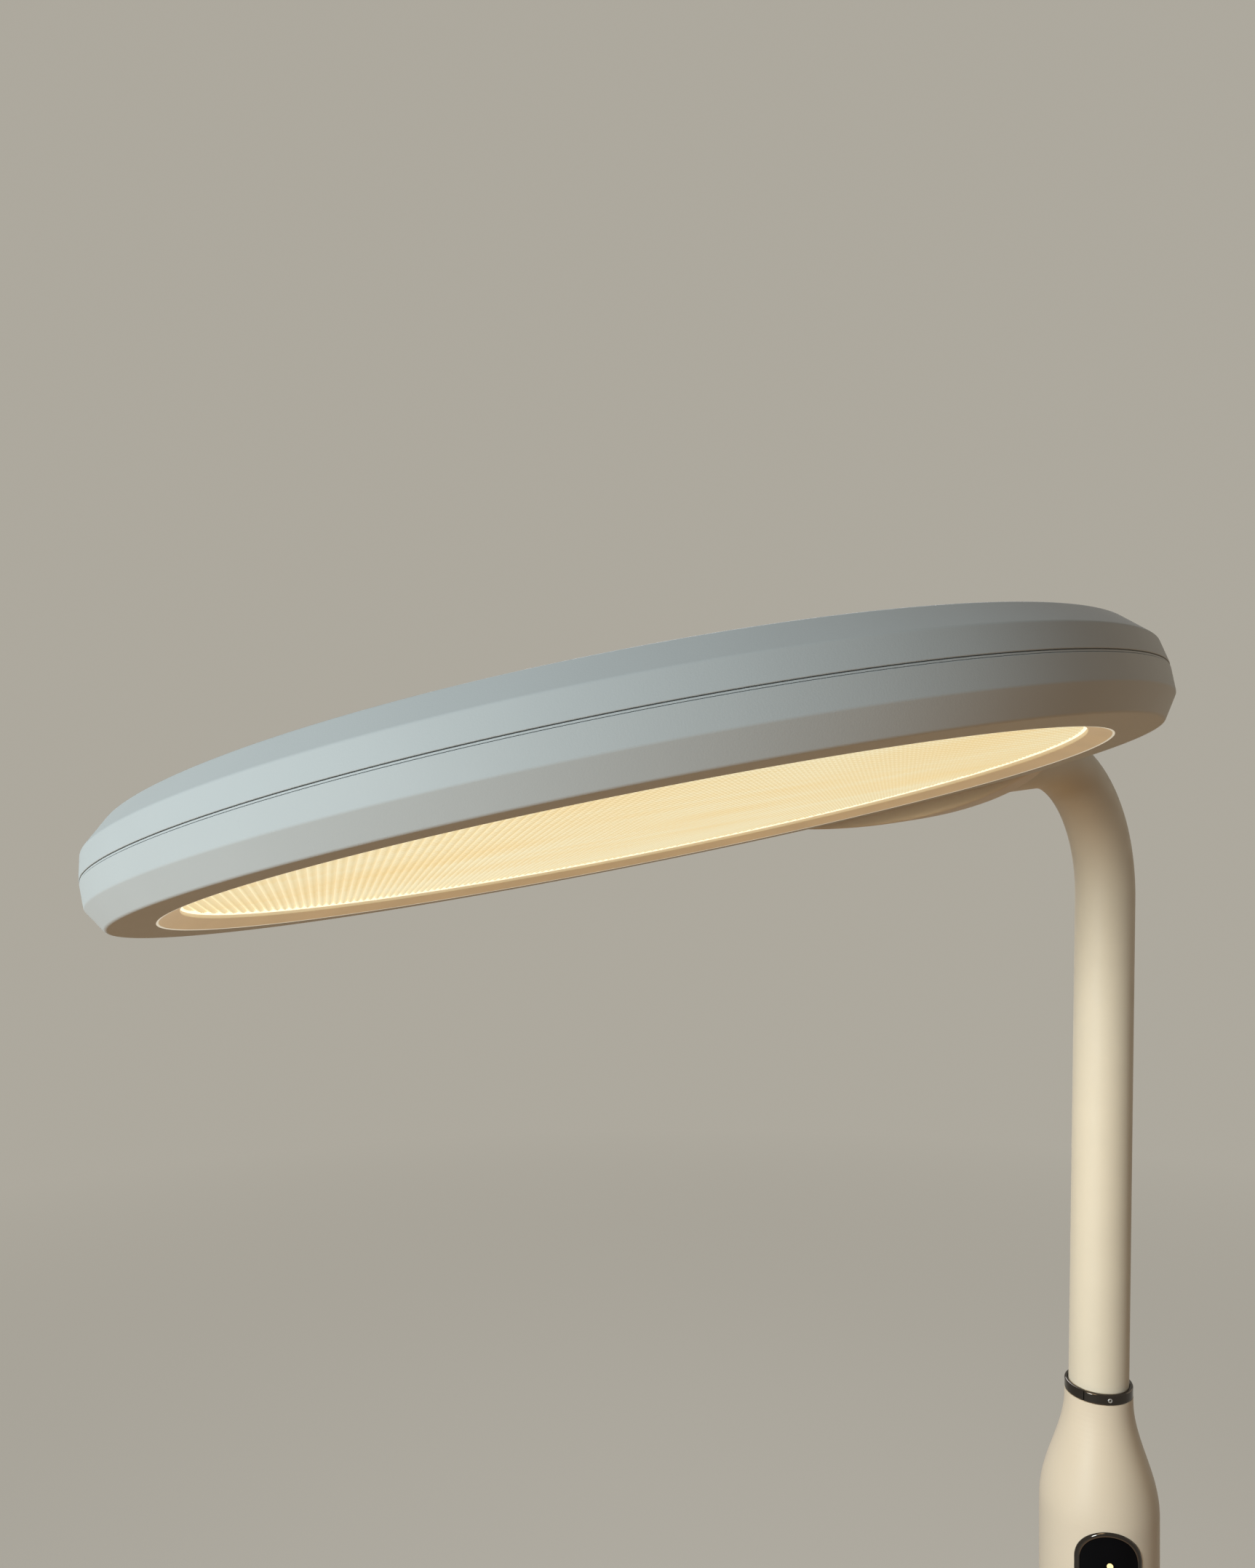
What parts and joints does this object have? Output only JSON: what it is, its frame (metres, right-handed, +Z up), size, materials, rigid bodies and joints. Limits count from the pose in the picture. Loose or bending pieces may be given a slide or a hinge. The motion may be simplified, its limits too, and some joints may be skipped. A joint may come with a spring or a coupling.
{
  "type": "floor lamp",
  "caption": "Floor lamp with a round weighted foot, a pole, a touch control housing, a bendable sleeved neck and a flat round edge-lit head that turns on the neck.",
  "frame": {"origin": "centre of the foot on the floor", "axes": "+Z up along the pole, -Y the side that the touch panel faces"},
  "size_m": [0.4614, 0.5272, 1.317],
  "materials": {
    "painted_ivory": "satin powder coat",
    "ivory_plastic": "satin moulded",
    "white_plastic": "fine satin moulded",
    "silicone": "smooth matte silicone",
    "chrome": "polished",
    "steel": "zinc plated",
    "iron": "as cast",
    "black_rubber": "matte",
    "panel_glass": "high gloss",
    "icon_glow": "lit",
    "diffuser": "prismatic, lit",
    "clear_acrylic": "clear polished",
    "aluminium": "mill finish",
    "circuit_board": "solder mask",
    "led_white": "phosphor"
  },
  "bodies": {
    "stand": {"base_cover": "painted_ivory", "base_weight": "iron", "base_plate": "steel", "base_pad": "black_rubber", "base_screws": "steel", "cord_gland": "black_rubber", "pole_stud": "steel", "pole_stud_nut": "steel", "pole_foot_plug": "steel", "pole_collar": "chrome", "pole_lower": "painted_ivory", "pole_coupling": "steel", "pole_upper": "painted_ivory", "housing_tail": "ivory_plastic", "control_housing": "ivory_plastic", "housing_screws": "steel", "panel_bezel": "chrome", "touch_panel": "panel_glass", "panel_icons": "icon_glow", "panel_light_box": "white_plastic", "touch_board": "circuit_board", "driver_board": "circuit_board", "driver_components": "panel_glass", "neck_foot": "steel", "neck_nut": "steel", "neck_ring": "chrome", "ring_screw": "steel", "neck_sleeve": "silicone", "neck_wire": "black_rubber"},
    "neck_1": {"neck_link_1": "aluminium"},
    "neck_2": {"neck_link_2": "aluminium"},
    "neck_3": {"neck_link_3": "aluminium"},
    "neck_4": {"neck_link_4": "aluminium"},
    "neck_5": {"neck_link_5": "aluminium"},
    "neck_6": {"neck_link_6": "aluminium", "neck_end_collar": "ivory_plastic", "swivel_spindle": "steel", "swivel_washer": "steel", "swivel_nut": "steel"},
    "head": {"head_bracket": "ivory_plastic", "bracket_screws": "steel", "head_upper_shell": "white_plastic", "head_seam_ring": "aluminium", "head_lower_shell": "white_plastic", "diffuser": "diffuser", "light_guide": "clear_acrylic", "reflector_sheet": "white_plastic", "back_plate": "aluminium", "led_strip": "white_plastic", "leds": "led_white", "head_screws": "steel"}
  },
  "joints": [
    {"name": "neck_bend", "type": "hinge", "parent": "stand", "child": "neck_1", "pos_m": [0.00073, 0.00099, 1.04398], "axis": [0.8039, -0.5948, 0], "range_deg": [-16, 16], "deforming": ["neck_sleeve", "neck_wire"]},
    {"name": "neck_sway", "type": "hinge", "parent": "neck_1", "child": "neck_2", "pos_m": [0.00158, 0.00214, 1.09509], "axis": [-0.5946, -0.8035, 0.0279], "range_deg": [-15, 15]},
    {"name": "neck_bend_2", "type": "hinge", "parent": "neck_2", "child": "neck_3", "pos_m": [0.00243, 0.00328, 1.1462], "axis": [0.8039, -0.5948, 0], "range_deg": [-16, 16]},
    {"name": "neck_sway_2", "type": "hinge", "parent": "neck_3", "child": "neck_4", "pos_m": [0.00328, 0.00443, 1.1973], "axis": [-0.5946, -0.8035, 0.0279], "range_deg": [-15, 15]},
    {"name": "neck_bend_3", "type": "hinge", "parent": "neck_4", "child": "neck_5", "pos_m": [0.00137, 0.00185, 1.24794], "axis": [0.8039, -0.5948, 0], "range_deg": [-16, 16]},
    {"name": "neck_bend_4", "type": "hinge", "parent": "neck_5", "child": "neck_6", "pos_m": [-0.01928, -0.02605, 1.2835], "axis": [0.8039, -0.5948, 0], "range_deg": [-16, 16]},
    {"name": "head_swivel", "type": "hinge", "parent": "neck_6", "child": "head", "pos_m": [-0.05932, -0.08017, 1.28526], "axis": [-0.5935, -0.8021, -0.0663], "range_deg": [-102.5, 77.5]}
  ],
  "couplings": [
    {"joint": "neck_sway_2", "follows": "neck_sway", "ratio": 1},
    {"joint": "neck_bend_2", "follows": "neck_bend", "ratio": 1},
    {"joint": "neck_bend_3", "follows": "neck_bend", "ratio": 1},
    {"joint": "neck_bend_4", "follows": "neck_bend", "ratio": 1}
  ]
}
